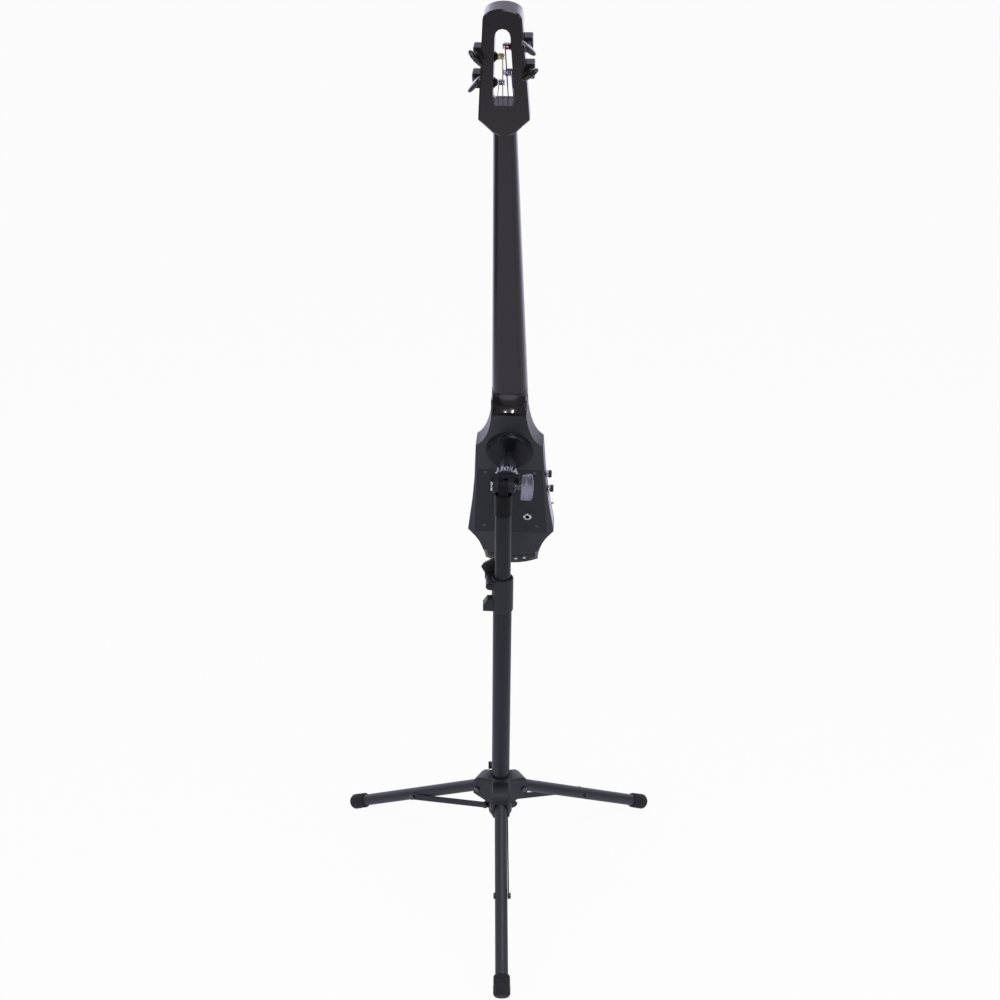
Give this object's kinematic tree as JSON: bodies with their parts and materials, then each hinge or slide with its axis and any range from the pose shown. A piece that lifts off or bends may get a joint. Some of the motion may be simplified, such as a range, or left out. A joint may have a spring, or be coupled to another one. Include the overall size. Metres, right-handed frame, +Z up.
{
  "type": "electric cello on a tripod stand",
  "caption": "Black solid-body electric cello hung by a round disc on a telescopic tripod stand with folding braced legs.",
  "frame": {"origin": "on the floor, under the middle of the bounding box", "axes": "+Z up the pole; +Y towards the side that the strings face, away from the pictured back; +X to the right in the picture"},
  "size_m": [0.558, 0.5064, 1.4383],
  "materials": {
    "tube_paint": "satin",
    "cast_paint": "satin",
    "black_rubber": "matte",
    "black_plastic": "satin",
    "bright_steel": "bright",
    "dark_steel": "satin",
    "body_lacquer": "satin",
    "neck_lacquer": "gloss",
    "ebony": "satin",
    "maple": "satin",
    "key_gloss": "gloss",
    "steel_string": "satin",
    "grey_plate": "satin",
    "board_green": "matte"
  },
  "bodies": {
    "pole": {"pole_tube": "tube_paint", "pole_plug": "black_plastic", "brace_collar": "cast_paint", "height_collar": "cast_paint"},
    "hub": {"leg_hub": "cast_paint", "leg_pin_front": "dark_steel", "leg_pin_right": "dark_steel", "leg_pin_left": "dark_steel"},
    "hub_clamp": {"hub_clamp_bolt": "black_plastic"},
    "wing": {"wing_screw": "black_plastic"},
    "swivel": {"collar_bush": "black_plastic"},
    "mast": {"mast_tube": "tube_paint", "tilt_socket": "black_plastic"},
    "tilt": {"tilt_head": "cast_paint"},
    "handle": {"tilt_handle": "bright_steel"},
    "locking": {"lock_nut": "bright_steel"},
    "instrument": {"mount_stud": "bright_steel", "mount_disc": "black_plastic", "body": "body_lacquer", "neck": "neck_lacquer", "fingerboard": "ebony", "nut": "ebony", "bridge": "maple", "pickup": "grey_plate", "tail_anchor": "black_plastic", "string_a": "steel_string", "string_d": "steel_string", "string_g": "steel_string", "string_c": "steel_string", "tuner_housing_a": "cast_paint", "tuner_housing_d": "cast_paint", "tuner_housing_g": "cast_paint", "tuner_housing_c": "cast_paint", "control_cover": "black_plastic", "output_jack": "bright_steel", "control_board": "board_green", "side_plate": "grey_plate"},
    "volume": {"volume_knob": "black_plastic"},
    "tone": {"tone_knob": "black_plastic"},
    "toggle": {"toggle_lever": "bright_steel"},
    "leg_front_set": {"leg_front": "tube_paint", "foot_front": "black_rubber"},
    "brace_front_set": {"brace_front": "tube_paint", "brace_rivet_front": "dark_steel"},
    "leg_right_set": {"leg_right": "tube_paint", "foot_right": "black_rubber"},
    "brace_right_set": {"brace_right": "tube_paint", "brace_rivet_right": "dark_steel"},
    "leg_left_set": {"leg_left": "tube_paint", "foot_left": "black_rubber"},
    "brace_left_set": {"brace_left": "tube_paint", "brace_rivet_left": "dark_steel"},
    "key_a": {"tuner_key_a": "key_gloss"},
    "post_a": {"tuner_post_a": "bright_steel"},
    "key_d": {"tuner_key_d": "key_gloss"},
    "post_d": {"tuner_post_d": "bright_steel"},
    "key_g": {"tuner_key_g": "key_gloss"},
    "post_g": {"tuner_post_g": "bright_steel"},
    "key_c": {"tuner_key_c": "key_gloss"},
    "post_c": {"tuner_post_c": "bright_steel"}
  },
  "joints": [
    {"name": "hub_slide", "type": "slide", "parent": "pole", "child": "hub", "axis": [0, 0, 1], "range_m": [0, 0.2787]},
    {"name": "hub_clamp_turn", "type": "hinge", "parent": "hub", "child": "hub_clamp", "pos_m": [0, 0.08941, 0.1968], "axis": [1, 0, 0], "range_deg": [0, 180]},
    {"name": "leg_front_fold", "type": "hinge", "parent": "hub", "child": "leg_front_set", "pos_m": [0, 0.02786, 0.16], "axis": [1, 0, 0], "range_deg": [0, 57.52]},
    {"name": "brace_front_fold", "type": "hinge", "parent": "pole", "child": "brace_front_set", "pos_m": [0, 0.04286, 0.129], "axis": [-1, 0, 0], "range_deg": [0, 96.43]},
    {"name": "leg_right_fold", "type": "hinge", "parent": "hub", "child": "leg_right_set", "pos_m": [0.03291, 0.08486, 0.16], "axis": [-0.5, 0.866, 0], "range_deg": [0, 57.52]},
    {"name": "brace_right_fold", "type": "hinge", "parent": "pole", "child": "brace_right_set", "pos_m": [0.01992, 0.07736, 0.129], "axis": [0.5, -0.866, 0], "range_deg": [0, 96.43]},
    {"name": "leg_left_fold", "type": "hinge", "parent": "hub", "child": "leg_left_set", "pos_m": [-0.03291, 0.08486, 0.16], "axis": [-0.5, -0.866, 0], "range_deg": [0, 57.52]},
    {"name": "brace_left_fold", "type": "hinge", "parent": "pole", "child": "brace_left_set", "pos_m": [-0.01992, 0.07736, 0.129], "axis": [0.5, 0.866, 0], "range_deg": [0, 96.43]},
    {"name": "wing_turn", "type": "hinge", "parent": "pole", "child": "wing", "pos_m": [-0.0205, 0.06586, 0.5723], "axis": [0, 1, 0], "range_deg": [0, 180]},
    {"name": "mast_swivel", "type": "hinge", "parent": "pole", "child": "swivel", "pos_m": [0, 0.06586, 0.565], "axis": [0, 0, 1], "continuous": true},
    {"name": "mast_slide", "type": "slide", "parent": "swivel", "child": "mast", "axis": [0, 0, 1], "range_m": [-0.105, 0.2]},
    {"name": "tilt_turn", "type": "hinge", "parent": "mast", "child": "tilt", "pos_m": [0, 0.06586, 0.7392], "axis": [0.9969, -0.0785, 0], "range_deg": [-20, 50]},
    {"name": "handle_turn", "type": "hinge", "parent": "tilt", "child": "handle", "pos_m": [0, 0.06586, 0.7392], "axis": [0.9969, -0.0785, 0], "range_deg": [0, 180]},
    {"name": "lock_nut_turn", "type": "hinge", "parent": "tilt", "child": "locking", "pos_m": [0.00329, 0.0656, 0.7392], "axis": [0.0761, 0.9667, 0.2445], "continuous": true},
    {"name": "instrument_turn", "type": "hinge", "parent": "tilt", "child": "instrument", "pos_m": [0.00329, 0.0656, 0.7392], "axis": [0.0761, 0.9667, 0.2445], "range_deg": [-90, 90]},
    {"name": "key_a_turn", "type": "hinge", "parent": "instrument", "child": "key_a", "pos_m": [-0.04213, 0.01071, 1.34263], "axis": [0.0761, 0.9667, 0.2445], "continuous": true},
    {"name": "post_a_turn", "type": "hinge", "parent": "instrument", "child": "post_a", "pos_m": [-0.00538, 0.0213, 1.3384], "axis": [0.9967, -0.0806, 0.0085], "continuous": true},
    {"name": "key_d_turn", "type": "hinge", "parent": "instrument", "child": "key_d", "pos_m": [-0.0407, 0.00226, 1.37561], "axis": [0.0761, 0.9667, 0.2445], "continuous": true},
    {"name": "post_d_turn", "type": "hinge", "parent": "instrument", "child": "post_d", "pos_m": [-0.00633, 0.01304, 1.37136], "axis": [0.9967, -0.0806, 0.0085], "continuous": true},
    {"name": "key_g_turn", "type": "hinge", "parent": "instrument", "child": "key_g", "pos_m": [0.02449, -0.00628, 1.38907], "axis": [0.0761, 0.9667, 0.2445], "continuous": true},
    {"name": "post_g_turn", "type": "hinge", "parent": "instrument", "child": "post_g", "pos_m": [-0.0067, 0.00981, 1.38426], "axis": [0.9967, -0.0806, 0.0085], "continuous": true},
    {"name": "key_c_turn", "type": "hinge", "parent": "instrument", "child": "key_c", "pos_m": [0.02781, 0.00179, 1.35612], "axis": [0.0761, 0.9667, 0.2445], "continuous": true},
    {"name": "post_c_turn", "type": "hinge", "parent": "instrument", "child": "post_c", "pos_m": [-0.00575, 0.01807, 1.35129], "axis": [0.9967, -0.0806, 0.0085], "continuous": true},
    {"name": "volume_turn", "type": "hinge", "parent": "instrument", "child": "volume", "pos_m": [0.07089, 0.17631, 0.7099], "axis": [0.9967, -0.0806, 0.0085], "range_deg": [-140, 140]},
    {"name": "tone_turn", "type": "hinge", "parent": "instrument", "child": "tone", "pos_m": [0.07481, 0.18338, 0.68074], "axis": [0.9967, -0.0806, 0.0085], "range_deg": [-140, 140]},
    {"name": "toggle_flip", "type": "hinge", "parent": "instrument", "child": "toggle", "pos_m": [0.07871, 0.19083, 0.65004], "axis": [0.0761, 0.9667, 0.2445], "range_deg": [-12, 12]}
  ],
  "couplings": [
    {"joint": "leg_front_fold", "follows": "hub_slide", "rad_per_m": 3.6009},
    {"joint": "brace_front_fold", "follows": "hub_slide", "rad_per_m": 6.0375},
    {"joint": "leg_right_fold", "follows": "hub_slide", "rad_per_m": 3.6009},
    {"joint": "brace_right_fold", "follows": "hub_slide", "rad_per_m": 6.0375},
    {"joint": "leg_left_fold", "follows": "hub_slide", "rad_per_m": 3.6009},
    {"joint": "brace_left_fold", "follows": "hub_slide", "rad_per_m": 6.0375},
    {"joint": "post_a_turn", "follows": "key_a_turn", "ratio": -0.07143},
    {"joint": "post_d_turn", "follows": "key_d_turn", "ratio": -0.07143},
    {"joint": "post_g_turn", "follows": "key_g_turn", "ratio": 0.07143},
    {"joint": "post_c_turn", "follows": "key_c_turn", "ratio": 0.07143}
  ]
}
